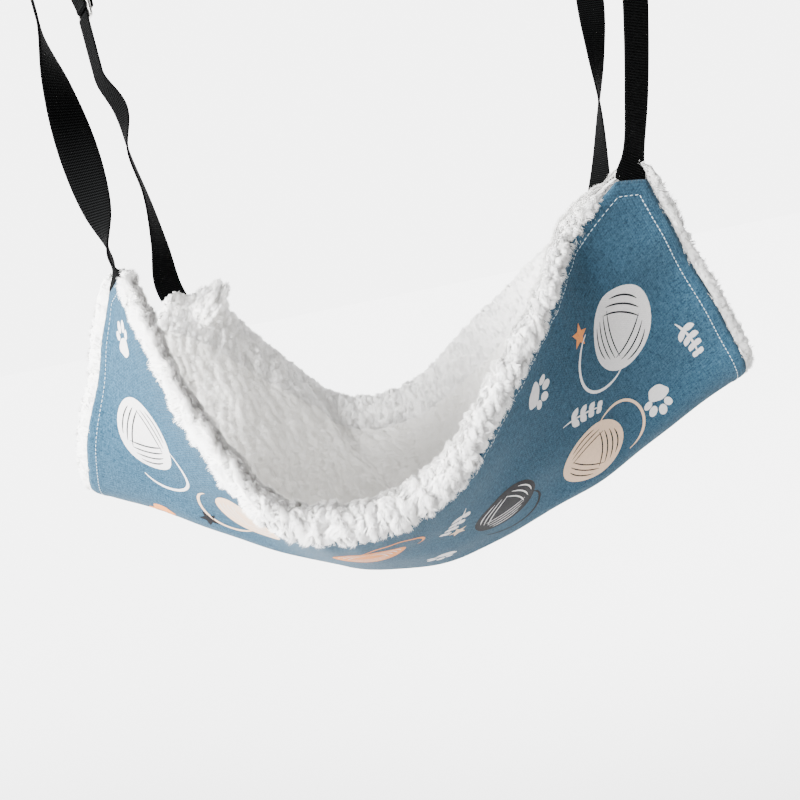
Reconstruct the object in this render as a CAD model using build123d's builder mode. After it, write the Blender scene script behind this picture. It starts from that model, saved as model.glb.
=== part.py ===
from build123d import *
from math import cos, radians, sin, sqrt, tan
import os

# Cage cat hammock: a two layer bed hung by its four corners on webbing straps,
# each with a three bar slider and a swivelling snap hook.
# Millimetres. Z is up. X runs along the bed and Y across it, front at -Y.
# The origin lies in the plane of the four hook seats, above the bed's lowest point.

os.makedirs("parts", exist_ok=True)

# The bed as it is cut, laid flat
pad_length = 550.0
pad_width = 400.0
corner_cut = 15.0
canvas_thickness = 1.0
fleece_thickness = 8.0
rim_roll_radius = 9.5
fleece_overhang = 8.0
corner_cut_overrun = 60.0

# The bed as it hangs: its bottom fold seen from the front
hang_height = 574.0
low_point_share = 0.49
left_slope = 30.0
right_slope = 22.5
keel_radius = 190.0
ease_start_share = 0.74
ease_radius = 500.0
ease_angle = 4.5
fold_radius = 42.0

# One cross-section a row: its place as a share of the length, then in degrees
# its walls' angle, its lean along the bed and its roll towards the back, and
# the radius of its bottom fold as a share of fold_radius
section_shares = (
    (0.00, 78.0, 25.0, -10.0, 1.43),
    (0.10, 61.0, 17.0, -6.5, 1.31),
    (0.22, 42.0, 9.0, -3.5, 1.17),
    (0.34, 28.0, 4.0, -1.5, 1.05),
    (0.46, 29.0, -1.0, -1.0, 1.00),
    (0.58, 35.0, -8.0, -1.5, 1.00),
    (0.70, 44.0, -15.0, -3.0, 1.00),
    (0.82, 53.0, -23.0, -6.0, 1.00),
    (0.92, 62.0, -28.0, -9.5, 1.00),
    (1.00, 70.0, -23.0, -13.0, 1.00),
)

# Webbing
webbing_width = 25.0
webbing_thickness = 1.6
seat_gap = 0.3

# Three bar slider
slider_width = 32.0
slider_height = 24.0
slider_thickness = 2.4
slider_bar = 3.0
slider_corner_radius = 3.0
slider_slot_width = 25.8
slider_edge_round = 0.5

# Swivel eye
slider_drop = 84.0
eye_height = 40.0
eye_rod_radius = 2.0
eye_shoulder_height = 7.0
eye_crown_height = 17.0
eye_crown_half_width = 5.0
eye_bend_radius = 3.5
boss_radius = 5.0
boss_length = 5.0
shank_radius = 2.0
shank_clearance = 0.05
shank_head_radius = 3.4
shank_head_length = 1.8

# Snap hook
hook_thickness = 5.5
hook_bend_radius = 7.0
hook_section = 5.5
hook_base_height = 7.0
hook_bend_round = 1.8
hook_edge_round = 0.9
collar_radius = 4.75
nose_angle = 24.0
gate_pin_radius = 1.0
gate_clearance = 0.05
gate_thickness = 2.7
gate_width = 5.0
gate_gap = 0.35
gate_opening = 35.0
gate_slot = 5.6
base_thickness = 8.8
thumb_radius = 2.2
spring_wire_radius = 0.25
spring_half_turns = 3
spring_pitch = 0.95
spring_radius = 1.55

# Each corner: name, end of the bed (0 left, 1 right), side (-1 front, 1 back), and the
# strap's top as shares of pad_length and pad_width from the origin
corner_shares = (
    ("front_left", 0, -1, -0.304, -0.145),
    ("back_left", 0, 1, -0.351, 0.268),
    ("front_right", 1, -1, 0.371, -0.135),
    ("back_right", 1, 1, 0.407, 0.325),
)

# The webbing on its way up, a place a row: the share of its height, the way it faces in
# degrees about Z, and its slack to the right as a share of its width
twist_shares = {
    "front_left": ((0.14, -75, 0), (0.3, -20, 0), (0.45, 25, 0), (0.6, 70, 0), (0.76, 112, 0)),
    "back_left": (
        (0.14, 43, -0.14), (0.3, 75, 0.11), (0.45, 98, 0.26),
        (0.58, 105, 0.2), (0.7, 134, 0.4), (0.82, 126, 0),
    ),
    "front_right": ((0.14, 42, 0), (0.3, 38, 0), (0.45, 36, 0), (0.6, 35, 0), (0.76, 35, 0)),
    "back_right": ((0.14, -40, 0), (0.3, -72, 0), (0.45, -100, 0), (0.6, -140, 0), (0.76, -170, 0)),
}

# Heights that follow from the sizes above
slider_z = -slider_drop
eye_z = slider_z + eye_height
half_width = pad_width / 2
half_webbing = webbing_thickness / 2
ply_offset = slider_thickness / 2 + seat_gap + half_webbing


# The bottom fold's path, seen from the front: a straight run, an arc about the low
# point, a second run that steepens a little, and a third
with BuildLine() as keel:
    bowl = CenterArc(
        (0, keel_radius - hang_height), keel_radius, 270 - left_slope, left_slope + right_slope
    )
    left_run = low_point_share * pad_length - keel_radius * radians(left_slope)
    left_end = (bowl @ 0) + Vector(-cos(radians(left_slope)), sin(radians(left_slope))) * left_run
    Line(left_end, bowl @ 0)
    middle_run = (ease_start_share - low_point_share) * pad_length - keel_radius * radians(right_slope)
    climb = Vector(cos(radians(right_slope)), sin(radians(right_slope)))
    middle = Line(bowl @ 1, (bowl @ 1) + climb * middle_run)
    ease = JernArc(middle @ 1, climb, ease_radius, ease_angle)
    right_run = (1 - ease_start_share) * pad_length - ease_radius * radians(ease_angle)
    Line(ease @ 1, (ease @ 1) + (ease % 1) * right_run)
keel_path = keel.wires()[0]
keel_turned = keel_path.position_at(0).X > 0


def keel_at(share):
    """The bottom fold's point at a share of its length, left to right."""
    inside = min(max(share, 0), 1)
    along = 1 - inside if keel_turned else inside
    way = keel_path.tangent_at(along) * (-1 if keel_turned else 1)
    point = keel_path.position_at(along) + way * (share - inside) * pad_length
    return Vector(point.X, 0, point.Y)


def section_at(share):
    """A cross-section's wall angle, lean, roll and fold radius, between the listed rows."""
    rows = section_shares
    low = max(index for index in range(len(rows) - 1) if rows[index][0] <= max(share, 0))
    first, second = rows[low], rows[low + 1]
    part = min(max((share - first[0]) / (second[0] - first[0]), 0), 1)
    wall, lean, roll, fold = (a + (b - a) * part for a, b in zip(first[1:], second[1:]))
    return radians(wall), radians(lean), radians(roll), fold * fold_radius


def section_plane(share):
    """The plane of a cross-section: its x runs across the bed and its y up from the fold."""
    wall, lean, roll, fold = section_at(share)
    up = Vector(sin(lean), 0, cos(lean))
    across = Vector(0, 1, 0) * cos(roll) + up * sin(roll)
    return Plane(origin=keel_at(share), x_dir=across, z_dir=Vector(0, 1, 0).cross(up))


def wall_points(share, depth):
    """The right wall's foot, its rim, its direction and its inward normal, at a depth into
    the pad, in the cross-section's plane."""
    wall, lean, roll, fold = section_at(share)
    along = Vector(cos(wall), sin(wall))
    inward = Vector(-sin(wall), cos(wall))
    foot = Vector(0, fold) - inward * (fold - depth)
    return foot, foot + along * (half_width - fold * wall), along, inward


def mirrored(point):
    return Vector(-point.X, point.Y)


def canvas_outline(share):
    """The canvas layer's outline: two walls and a bottom fold, doubled by its thickness."""
    outer_foot, outer_rim, along, inward = wall_points(share, 0)
    inner_foot, inner_rim, along, inward = wall_points(share, canvas_thickness)
    fold = section_at(share)[3]
    Line(mirrored(outer_rim), mirrored(outer_foot))
    ThreePointArc(mirrored(outer_foot), Vector(0, 0), outer_foot)
    Line(outer_foot, outer_rim)
    Line(outer_rim, inner_rim)
    Line(inner_rim, inner_foot)
    ThreePointArc(inner_foot, Vector(0, canvas_thickness), mirrored(inner_foot))
    Line(mirrored(inner_foot), mirrored(inner_rim))
    Line(mirrored(inner_rim), mirrored(outer_rim))


def fleece_outline(share):
    """The lining's outline: it lies on the canvas and swells to a round roll at each rim."""
    lay = canvas_thickness + seat_gap
    depth = lay + fleece_thickness
    outer_foot, outer_rim, along, inward = wall_points(share, lay)
    inner_foot, inner_rim, along, inward = wall_points(share, depth)
    centre = outer_rim + inward * rim_roll_radius
    crown = centre + along * rim_roll_radius
    shoulder = outer_rim + inward * 2 * rim_roll_radius
    slant = (along + inward).normalized() * rim_roll_radius
    dip = sqrt(rim_roll_radius**2 - (rim_roll_radius - fleece_thickness) ** 2)
    tuck = inner_rim - along * dip
    belly = centre + (inward - along).normalized() * rim_roll_radius
    rise = centre + (along - inward).normalized() * rim_roll_radius

    Line(mirrored(outer_rim), mirrored(outer_foot))
    ThreePointArc(mirrored(outer_foot), Vector(0, lay), outer_foot)
    Line(outer_foot, outer_rim)
    ThreePointArc(outer_rim, rise, crown)
    ThreePointArc(crown, centre + slant, shoulder)
    ThreePointArc(shoulder, belly, tuck)
    Line(tuck, inner_foot)
    ThreePointArc(inner_foot, Vector(0, depth), mirrored(inner_foot))
    Line(mirrored(inner_foot), mirrored(tuck))
    ThreePointArc(mirrored(tuck), mirrored(belly), mirrored(shoulder))
    ThreePointArc(mirrored(shoulder), mirrored(centre + slant), mirrored(crown))
    ThreePointArc(mirrored(crown), mirrored(rise), mirrored(outer_rim))


def rim_point(share, side, back_from_rim=0, depth=0):
    """A point on a wall, at a distance down from its rim and at a depth into the pad."""
    foot, rim, along, inward = wall_points(share, depth)
    point = rim - along * back_from_rim
    return section_plane(share).from_local_coords(Vector(side * point.X, point.Y))


def corner_seat(end, side):
    """The plane of a cut corner: its x runs along the cut and its z points off the bed."""
    tip = rim_point(end, side)
    on_rim = rim_point(abs(end - corner_cut / pad_length), side)
    on_end = rim_point(end, side, corner_cut)
    middle = (on_rim + on_end) / 2
    return Plane(origin=middle, x_dir=on_end - on_rim, z_dir=(tip - middle))


# Both layers pass through the same places, past the ends of the canvas
overhang_share = fleece_overhang / pad_length
places = [-overhang_share] + [row[0] for row in section_shares] + [1 + overhang_share]

# Outer layer: printed canvas, cut off at its ends
with BuildPart() as canvas_cover:
    for place in places:
        with BuildSketch(section_plane(place)):
            with BuildLine():
                canvas_outline(place)
            make_face()
    loft()
    for end_plane in (-section_plane(0), section_plane(1)):
        with BuildSketch(end_plane):
            Rectangle(2 * pad_width, 2 * pad_width)
        extrude(amount=corner_cut_overrun, mode=Mode.SUBTRACT)
    for name, end, side, top_x_share, top_y_share in corner_shares:
        with BuildSketch(corner_seat(end, side)):
            Rectangle(2 * corner_cut_overrun, 2 * corner_cut_overrun)
        extrude(amount=corner_cut_overrun, mode=Mode.SUBTRACT)
canvas_cover.part.label = "canvas_cover"
export_step(canvas_cover.part, "parts/canvas_cover.step")

# Inner layer: thick fleece that rolls over the rims and stands out past the ends
with BuildPart() as fleece_lining:
    for place in places:
        with BuildSketch(section_plane(place)):
            with BuildLine():
                fleece_outline(place)
            make_face()
    loft()
    for name, end, side, top_x_share, top_y_share in corner_shares:
        with BuildSketch(corner_seat(end, side)):
            Rectangle(2 * corner_cut_overrun, 2 * corner_cut_overrun)
        extrude(amount=corner_cut_overrun, mode=Mode.SUBTRACT)
fleece_lining.part.label = "fleece_lining"
export_step(fleece_lining.part, "parts/fleece_lining.step")


def turned(x, y, z, turn):
    """A level frame about a strap's top: its x runs along the webbing's width."""
    way = Vector(cos(radians(turn)), sin(radians(turn)), 0)
    return Plane(origin=(x, y, z), x_dir=way, z_dir=(0, 0, 1))


def face_on(frame, depth=0):
    """The upright plane through a frame's x, its z towards the frame's own front."""
    return Plane(origin=frame.origin + frame.y_dir * depth, x_dir=frame.x_dir, z_dir=-frame.y_dir)


def edge_on(frame, offset=0):
    """The upright plane across a frame's x."""
    return Plane(origin=frame.origin + frame.x_dir * offset, x_dir=frame.y_dir, z_dir=frame.x_dir)


def make_strap(name, end, side, frame, turns):
    """Lower webbing: leaves the cut corner, twists on its way up and ends flat behind the
    slider's lower bar."""
    seat = corner_seat(end, side)
    twist_end = turns[-1][0]
    top = frame.origin + frame.y_dir * ply_offset
    top_z = slider_z - slider_height / 2 + slider_bar + seat_gap
    inward = rim_point(end, side, depth=canvas_thickness) - rim_point(end, side)
    between_layers = canvas_thickness + half_webbing
    if seat.y_dir.dot(inward) < 0:
        between_layers = -between_layers
    foot = seat.origin + seat.z_dir * seat_gap + seat.y_dir * between_layers
    head = Vector(top.X, top.Y, foot.Z + (top_z - foot.Z) * twist_end)
    rise = head.Z - foot.Z
    first_pull = foot + seat.z_dir * rise / 6
    last_pull = head - Vector(0, 0, rise / 3)
    first_way = Vector(cos(radians(turns[0][1])), sin(radians(turns[0][1])), 0)
    seat_way = seat.x_dir if seat.x_dir.dot(first_way) > 0 else -seat.x_dir
    with BuildPart() as strap:
        with BuildSketch(Plane(origin=foot, x_dir=seat_way, z_dir=seat.z_dir)):
            Rectangle(webbing_width, webbing_thickness)
        for place, turn, slack in turns:
            t = place / twist_end
            u = 1 - t
            centre = foot * u**3 + first_pull * 3 * u * u * t + last_pull * 3 * u * t * t + head * t**3
            centre += Vector(slack * webbing_width, 0, 0)
            pull = (first_pull - foot) * u * u + (last_pull - first_pull) * 2 * u * t + (head - last_pull) * t * t
            way = Vector(cos(radians(turn)), sin(radians(turn)), 0)
            across = (way - pull.normalized() * way.dot(pull.normalized())).normalized()
            with BuildSketch(Plane(origin=centre, x_dir=across, z_dir=pull)):
                Rectangle(webbing_width, webbing_thickness)
        loft()
        with BuildSketch(Plane(origin=head, x_dir=frame.x_dir, z_dir=(0, 0, 1))):
            Rectangle(webbing_width, webbing_thickness)
        extrude(amount=top_z - head.Z)
    strap.part.label = "strap_" + name
    export_step(strap.part, "parts/strap_" + name + ".step")


def make_slider(name, frame):
    """Three bar slider of cast metal: a rounded frame with two slots for the webbing."""
    slot_height = (slider_height - 3 * slider_bar) / 2
    slot_rise = (slot_height + slider_bar) / 2
    with BuildPart() as slider:
        with BuildSketch(face_on(frame, slider_thickness / 2)):
            RectangleRounded(slider_width, slider_height, slider_corner_radius)
            with Locations((0, slot_rise), (0, -slot_rise)):
                RectangleRounded(slider_slot_width, slot_height, slider_edge_round, mode=Mode.SUBTRACT)
        extrude(amount=slider_thickness)
        flats = slider.faces().sort_by(SortBy.AREA)[-2:]
        fillet([edge for flat in flats for edge in flat.outer_wire().edges()], slider_edge_round)
    slider.part.label = "slider_" + name
    export_step(slider.part, "parts/slider_" + name + ".step")


def make_loop(name, frame):
    """Upper webbing: up through the slider, over its middle bar, round the eye and back
    down to the middle bar, which its sewn end wraps."""
    ply = webbing_thickness + seat_gap / 2
    hump = ply_offset + ply
    bar = slider_bar / 2
    slot_edge = slider_height / 2 - slider_bar - seat_gap
    eye_side = eye_rod_radius + seat_gap + half_webbing
    eye_centre = ply_offset + ply / 2
    wrap = bar + seat_gap + half_webbing
    points = [
        (ply_offset, -slot_edge + half_webbing),
        (-hump, -bar - webbing_thickness),
        (-hump, bar + webbing_thickness / 2),
        (ply_offset, slot_edge - half_webbing),
        (ply_offset, slider_height / 2 + slider_bar),
        (eye_centre - eye_side, eye_height - 2 * eye_side),
        (eye_centre - eye_side, eye_height + eye_side),
        (eye_centre + eye_side, eye_height + eye_side),
        (eye_centre + eye_side, eye_height - 2 * eye_side),
        (ply_offset + ply, slider_height / 2 + slider_bar),
        (ply_offset + ply, slot_edge + seat_gap),
        (ply_offset, bar),
        (ply_offset, -wrap),
        (-ply_offset, -wrap),
        (-ply_offset, bar),
    ]
    bend = half_webbing + seat_gap
    radii = [bend * 2, bend * 2, bend * 3, bend * 3, bend * 4, eye_side * 0.99, eye_side * 0.99]
    radii += [bend * 4, bend * 4, bend * 3, bend * 2, ply_offset * 0.65, ply_offset * 0.65]
    with BuildPart() as loop:
        with BuildLine(edge_on(frame)) as route:
            FilletPolyline(*points, radius=radii)
        start = route.line @ 0
        with BuildSketch(Plane(origin=start, x_dir=frame.x_dir, z_dir=route.line % 0)):
            Rectangle(webbing_width, webbing_thickness)
        sweep(path=route.line)
    loop.part.label = "strap_loop_" + name
    export_step(loop.part, "parts/strap_loop_" + name + ".step")


def make_eye(name, frame):
    """Swivel eye: a rod bent to a flat sided ring for the webbing, with a bored boss."""
    centre_y = ply_offset + (webbing_thickness + seat_gap / 2) / 2
    half_bar = webbing_width / 2 + seat_gap * 2 + eye_rod_radius
    with BuildPart() as eye:
        with BuildLine(face_on(frame, centre_y)) as ring:
            FilletPolyline(
                (half_bar, eye_height),
                (half_bar, eye_height + eye_shoulder_height),
                (eye_crown_half_width, eye_height + eye_crown_height),
                (-eye_crown_half_width, eye_height + eye_crown_height),
                (-half_bar, eye_height + eye_shoulder_height),
                (-half_bar, eye_height),
                radius=eye_bend_radius,
                close=True,
            )
        with BuildSketch(Plane(origin=ring.line @ 0, x_dir=frame.y_dir, z_dir=ring.line % 0)):
            Circle(eye_rod_radius)
        sweep(path=ring.line)
        boss_foot = eye_height + eye_crown_height - boss_length / 2
        boss = Plane(
            origin=frame.origin + frame.y_dir * centre_y + frame.z_dir * boss_foot,
            x_dir=frame.x_dir, z_dir=frame.z_dir,
        )
        with BuildSketch(boss):
            Circle(boss_radius)
        extrude(amount=boss_length)
        with BuildSketch(boss):
            Circle(shank_radius + shank_clearance)
        extrude(amount=boss_length, mode=Mode.SUBTRACT)
    eye.part.label = "swivel_eye_" + name
    export_step(eye.part, "parts/swivel_eye_" + name + ".step")
    return boss


def make_hook(name, boss):
    """Snap hook: a shank riveted in the eye, a base with ears for the gate, and a bend
    that goes over the cage wire and ends in a nose. It lies in the XZ plane."""
    base_z = boss_length + seat_gap
    front = Plane(origin=boss.origin, x_dir=(1, 0, 0), z_dir=(0, -1, 0))
    bend_z = -boss.origin.Z
    outer = hook_bend_radius + hook_section
    middle = hook_bend_radius + hook_section / 2
    pivot = (middle, base_z + hook_base_height / 2)
    nose = radians(nose_angle)
    swing = radians(gate_opening)
    relief = gate_width / 2 / cos(swing) + hook_base_height / 2 * tan(swing) + hook_edge_round
    slot_depth = hook_section / 2 + relief + hook_edge_round
    with BuildPart() as hook:
        with BuildSketch(front.offset(-hook_thickness / 2)):
            with BuildLine():
                ThreePointArc((-outer, bend_z), (0, bend_z + outer), (outer, bend_z))
                Line((outer, bend_z), (outer, bend_z - hook_bend_radius * sin(nose)))
                Line((outer, bend_z - hook_bend_radius * sin(nose)),
                     (hook_bend_radius, bend_z - hook_bend_radius * sin(nose)))
                Line((hook_bend_radius, bend_z - hook_bend_radius * sin(nose)), (hook_bend_radius, bend_z))
                ThreePointArc((hook_bend_radius, bend_z), (0, bend_z + hook_bend_radius),
                              (-hook_bend_radius, bend_z))
                Line((-hook_bend_radius, bend_z), (-hook_bend_radius, base_z))
                Line((-hook_bend_radius, base_z), (-outer, base_z))
                Line((-outer, base_z), (-outer, bend_z))
            make_face()
        extrude(amount=hook_thickness)
        fillet(hook.edges().filter_by(GeomType.CIRCLE), hook_bend_round)
        with BuildSketch(front.offset(-base_thickness / 2)):
            with Locations((0, base_z + hook_base_height / 2)):
                RectangleRounded(2 * outer, hook_base_height, hook_base_height * 0.4)
        extrude(amount=base_thickness)
        with BuildSketch(front.offset(-gate_slot / 2)):
            with Locations((outer + hook_edge_round, base_z + hook_base_height / 2)):
                Rectangle(slot_depth, hook_base_height * 2, align=(Align.MAX, Align.CENTER))
        extrude(amount=gate_slot, mode=Mode.SUBTRACT)
        with BuildSketch(front.offset(-base_thickness)):
            with Locations(pivot):
                Circle(gate_pin_radius)
        extrude(amount=2 * base_thickness, mode=Mode.SUBTRACT)
        with BuildSketch(boss.offset(-seat_gap)):
            Circle(shank_radius)
        extrude(amount=base_z + 2 * seat_gap)
        with BuildSketch(boss.offset(-seat_gap - shank_head_length)):
            Circle(shank_head_radius)
        extrude(amount=shank_head_length)
        with BuildSketch(boss.offset(base_z)):
            Circle(collar_radius)
        extrude(amount=seat_gap)
    hook.part.label = "hook_" + name
    export_step(hook.part, "parts/hook_" + name + ".step")
    return front, pivot, bend_z - hook_bend_radius * sin(nose)


def make_gate(name, front, pivot, nose_z):
    """Gate: a sprung lever on a pin that closes the hook's mouth, with a thumb button."""
    outer = hook_bend_radius + hook_section
    root = hook_section / 2
    tip = nose_z - gate_gap
    with BuildPart() as gate:
        with BuildSketch(front.offset(seat_gap - gate_slot / 2)):
            with Locations(pivot):
                Circle(root)
            with Locations((pivot[0], (pivot[1] + tip) / 2)):
                Rectangle(gate_width, tip - pivot[1])
            with Locations((outer, pivot[1] + hook_base_height)):
                Circle(thumb_radius)
            with Locations(pivot):
                Circle(gate_pin_radius + gate_clearance, mode=Mode.SUBTRACT)
        extrude(amount=gate_thickness)
    gate.part.label = "gate_" + name
    export_step(gate.part, "parts/gate_" + name + ".step")

    with BuildPart() as pin:
        with BuildSketch(front.offset(-base_thickness / 2)):
            with Locations(pivot):
                Circle(gate_pin_radius)
        extrude(amount=base_thickness)
    pin.part.label = "gate_pin_" + name
    export_step(pin.part, "parts/gate_pin_" + name + ".step")
    make_spring(name, front, pivot)


def make_spring(name, front, pivot):
    """Torsion spring: half turns of wire round the pin beside the gate, each in a plane of
    its own, and a leg that lies in the base."""
    advance = spring_pitch / 2
    start = gate_slot / 2 - seat_gap - spring_wire_radius
    reach = sqrt(spring_radius**2 + advance**2 / 4)
    with BuildPart() as spring:
        with BuildLine(front) as wire:
            leg = hook_base_height / 2
            Line((pivot[0] - spring_radius, pivot[1] - leg, start), (pivot[0] - spring_radius, pivot[1], start))
            way = -1
            for turn in range(spring_half_turns):
                depth = start - turn * advance
                ThreePointArc(
                    (pivot[0] + way * spring_radius, pivot[1], depth),
                    (pivot[0], pivot[1] - way * reach, depth - advance / 2),
                    (pivot[0] - way * spring_radius, pivot[1], depth - advance),
                )
                way = -way
        with BuildSketch(Plane(origin=wire.line @ 0, z_dir=wire.line % 0)):
            Circle(spring_wire_radius)
        sweep(path=wire.line)
    spring.part.label = "gate_spring_" + name
    export_step(spring.part, "parts/gate_spring_" + name + ".step")
    print("gate_spring_" + name, "gap between turns", spring_pitch - 2 * spring_wire_radius)


for name, end, side, top_x_share, top_y_share in corner_shares:
    turns = twist_shares[name]
    frame = turned(top_x_share * pad_length, top_y_share * pad_width, slider_z, turns[-1][1])
    make_strap(name, end, side, frame, turns)
    make_slider(name, frame)
    make_loop(name, frame)
    boss = make_eye(name, frame)
    front, pivot, nose_z = make_hook(name, boss)
    make_gate(name, front, pivot, nose_z)
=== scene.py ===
import bpy
import numpy as np
from math import atan2, cos, pi, radians, sin, sqrt, tau
from mathutils import Matrix, Vector, noise


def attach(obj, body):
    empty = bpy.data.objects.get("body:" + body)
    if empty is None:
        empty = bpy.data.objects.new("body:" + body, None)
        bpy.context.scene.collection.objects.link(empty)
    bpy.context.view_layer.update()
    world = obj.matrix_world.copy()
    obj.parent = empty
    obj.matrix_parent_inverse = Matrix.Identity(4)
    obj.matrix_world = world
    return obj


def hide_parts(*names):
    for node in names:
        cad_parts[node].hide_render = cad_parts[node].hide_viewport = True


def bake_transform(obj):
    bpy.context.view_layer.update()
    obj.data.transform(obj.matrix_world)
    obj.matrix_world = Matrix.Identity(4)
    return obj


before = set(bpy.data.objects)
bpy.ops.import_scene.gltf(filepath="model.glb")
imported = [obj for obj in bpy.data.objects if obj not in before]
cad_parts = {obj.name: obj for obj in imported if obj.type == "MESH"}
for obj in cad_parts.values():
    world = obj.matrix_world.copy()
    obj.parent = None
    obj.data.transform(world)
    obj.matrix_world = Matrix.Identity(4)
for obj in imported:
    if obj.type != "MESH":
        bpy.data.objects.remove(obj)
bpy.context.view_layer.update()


# Camera: level with the bed and a little to its right, looking down on the near
# rim, and rolled as the photograph is.
camera_yaw, camera_pitch, camera_roll = -0.0373, 0.1952, -0.2048
camera_place = (0.02196, -0.55773, -0.32952)
ahead = Vector((
    sin(camera_yaw) * cos(camera_pitch), cos(camera_yaw) * cos(camera_pitch), -sin(camera_pitch),
))
level_right = Vector((cos(camera_yaw), -sin(camera_yaw), 0))
level_up = level_right.cross(ahead)
right = level_right * cos(camera_roll) + level_up * sin(camera_roll)
up = level_up * cos(camera_roll) - level_right * sin(camera_roll)
camera_data = bpy.data.cameras.new("camera")
camera_data.sensor_width = 36
camera_data.lens = 33.35
camera_data.clip_start = 0.01
camera = bpy.data.objects.new("camera", camera_data)
bpy.context.scene.collection.objects.link(camera)
turn = Matrix((right, up, -ahead)).transposed().to_4x4()
camera.matrix_world = Matrix.Translation(camera_place) @ turn
bpy.context.scene.camera = camera


# Studio: a pale floor far below the bed and a white surround that's brightest behind
# it and dimmest on the right. A wide lamp lights the floor behind the bed as white as
# the surround, and a soft key lamp from the left makes the canvas's left half the lighter.
def add_node(tree, kind, **values):
    """A node with its settings, and its inputs given by name or number."""
    node = tree.nodes.new(kind)
    for key, value in values.items():
        if key == "inputs":
            for socket, given in value.items():
                if isinstance(given, bpy.types.NodeSocket):
                    tree.links.new(given, node.inputs[socket])
                else:
                    node.inputs[socket].default_value = given
        else:
            setattr(node, key, value)
    return node


def new_material(name, colour, roughness, metallic=0.0, specular=0.5):
    """A material with its node tree and shader, ready for its texture nodes."""
    material = bpy.data.materials.new(name)
    material.use_nodes = True
    shader = material.node_tree.nodes["Principled BSDF"]
    shader.inputs["Base Color"].default_value = (*colour, 1)
    shader.inputs["Roughness"].default_value = roughness
    shader.inputs["Metallic"].default_value = metallic
    shader.inputs["Specular IOR Level"].default_value = specular
    return material, material.node_tree, shader


floor_size, floor_z = 40, -1.5
bpy.ops.object.select_all(action="DESELECT")
bpy.ops.mesh.primitive_plane_add(size=floor_size, location=(0, 0, floor_z))
floor = bpy.context.object
floor.name = "floor"
floor_paint, tree, shader = new_material("floor_paint", (0.93, 0.93, 0.93), 0.9)
floor.data.materials.append(floor_paint)
surround = bpy.data.worlds.new("surround")
surround.use_nodes = True
sky = surround.node_tree
view = add_node(sky, "ShaderNodeTexCoord").outputs["Generated"]
view_way = add_node(sky, "ShaderNodeSeparateXYZ", inputs={0: view})
sky_side = add_node(sky, "ShaderNodeMapRange", inputs={
    "Value": view_way.outputs["X"], "From Min": -0.8, "From Max": 0.8, "To Min": 0.84, "To Max": 0.30,
})
sky_level = add_node(sky, "ShaderNodeMapRange", interpolation_type="SMOOTHSTEP", inputs={
    "Value": view_way.outputs["Y"], "From Min": 0.30, "From Max": 0.66,
    "To Min": sky_side.outputs[0], "To Max": 5.6,
})
sky.nodes["Background"].inputs["Color"].default_value = (1, 1, 1, 1)
sky.links.new(sky_level.outputs[0], sky.nodes["Background"].inputs["Strength"])
bpy.context.scene.world = surround
for name, place, aim, size, power, spread in (
    ("lamp_left", (-1.06, -1.00, -0.02), (0.0, 0.0, -0.42), 0.8, 36, 75),
    ("lamp_floor", (0.0, 14.8, -0.95), (0.0, 14.8, -2.0), 28.0, 11500, 180),
):
    light = bpy.data.lights.new(name, "AREA")
    light.size = size
    light.energy = power
    light.spread = radians(spread)
    lamp = bpy.data.objects.new(name, light)
    bpy.context.scene.collection.objects.link(lamp)
    lamp.location = place
    lamp.rotation_euler = (Vector(aim) - Vector(place)).to_track_quat("-Z", "Y").to_euler()


# Canvas cover: the outer layer, cut as a rectangle with its corners taken off, hemmed
# all round and topstitched. Its shape is the hang of the whole bed: a bottom fold that
# sags between the straps, and walls that open towards the middle of the bed.
bed_length, bed_width = 0.550, 0.400
corner_cut, hem_width, stitch_inset = 0.015, 0.0105, 0.008
canvas_thickness = 0.001
hang_height = 0.574
low_point = 0.49 * bed_length

# rows of the hang: share of the length, wall angle, lean, roll, radius of the fold
hang = np.array((
    (0.00, 78.0, 25.0, -10.0, 0.0600), (0.10, 61.0, 17.0, -6.5, 0.0550), (0.22, 42.0, 9.0, -3.5, 0.0490),
    (0.34, 28.0, 4.0, -1.5, 0.0440), (0.46, 29.0, -1.0, -1.0, 0.0420), (0.58, 35.0, -8.0, -1.5, 0.0420),
    (0.70, 44.0, -15.0, -3.0, 0.0420), (0.82, 53.0, -23.0, -6.0, 0.0420), (0.92, 62.0, -28.0, -9.5, 0.0420),
    (1.00, 70.0, -23.0, -13.0, 0.0420),
))
hang_slopes = np.gradient(hang[:, 1:], hang[:, 0], axis=0)
fold_step = 0.00025
fold_steps = np.arange(-0.02, bed_length + 0.0201, fold_step)
# the bottom fold bends about its low point, and a little more near the right end
bend_run, left_slope, right_slope = 0.190, radians(30), radians(22.5)
late_bend, late_run, late_slope = 0.407, 0.500, radians(4.5)
fold_slope = np.clip((fold_steps - low_point) / bend_run, -left_slope, right_slope)
fold_slope += np.clip((fold_steps - late_bend) / late_run, 0, late_slope)
fold_x = np.concatenate(([0], np.cumsum(np.cos(fold_slope[:-1]) * fold_step)))
fold_z = np.concatenate(([0], np.cumsum(np.sin(fold_slope[:-1]) * fold_step)))
fold_x -= np.interp(low_point, fold_steps, fold_x)
fold_z -= np.interp(low_point, fold_steps, fold_z) + hang_height


def smooth_curve(knots, values, slopes, at):
    """A smooth curve through rows of values at their knots, with the slopes given there."""
    low = np.clip(np.searchsorted(knots, at, side="right") - 1, 0, len(knots) - 2)
    gap = (knots[low + 1] - knots[low])[:, None]
    t = (at - knots[low])[:, None] / gap
    return (
        (2 * t**3 - 3 * t**2 + 1) * values[low] + (t**3 - 2 * t**2 + t) * gap * slopes[low]
        + (3 * t**2 - 2 * t**3) * values[low + 1] + (t**3 - t**2) * gap * slopes[low + 1]
    )


def unit(vectors):
    return vectors / (np.linalg.norm(vectors, axis=-1, keepdims=True) + 1e-12)


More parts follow.
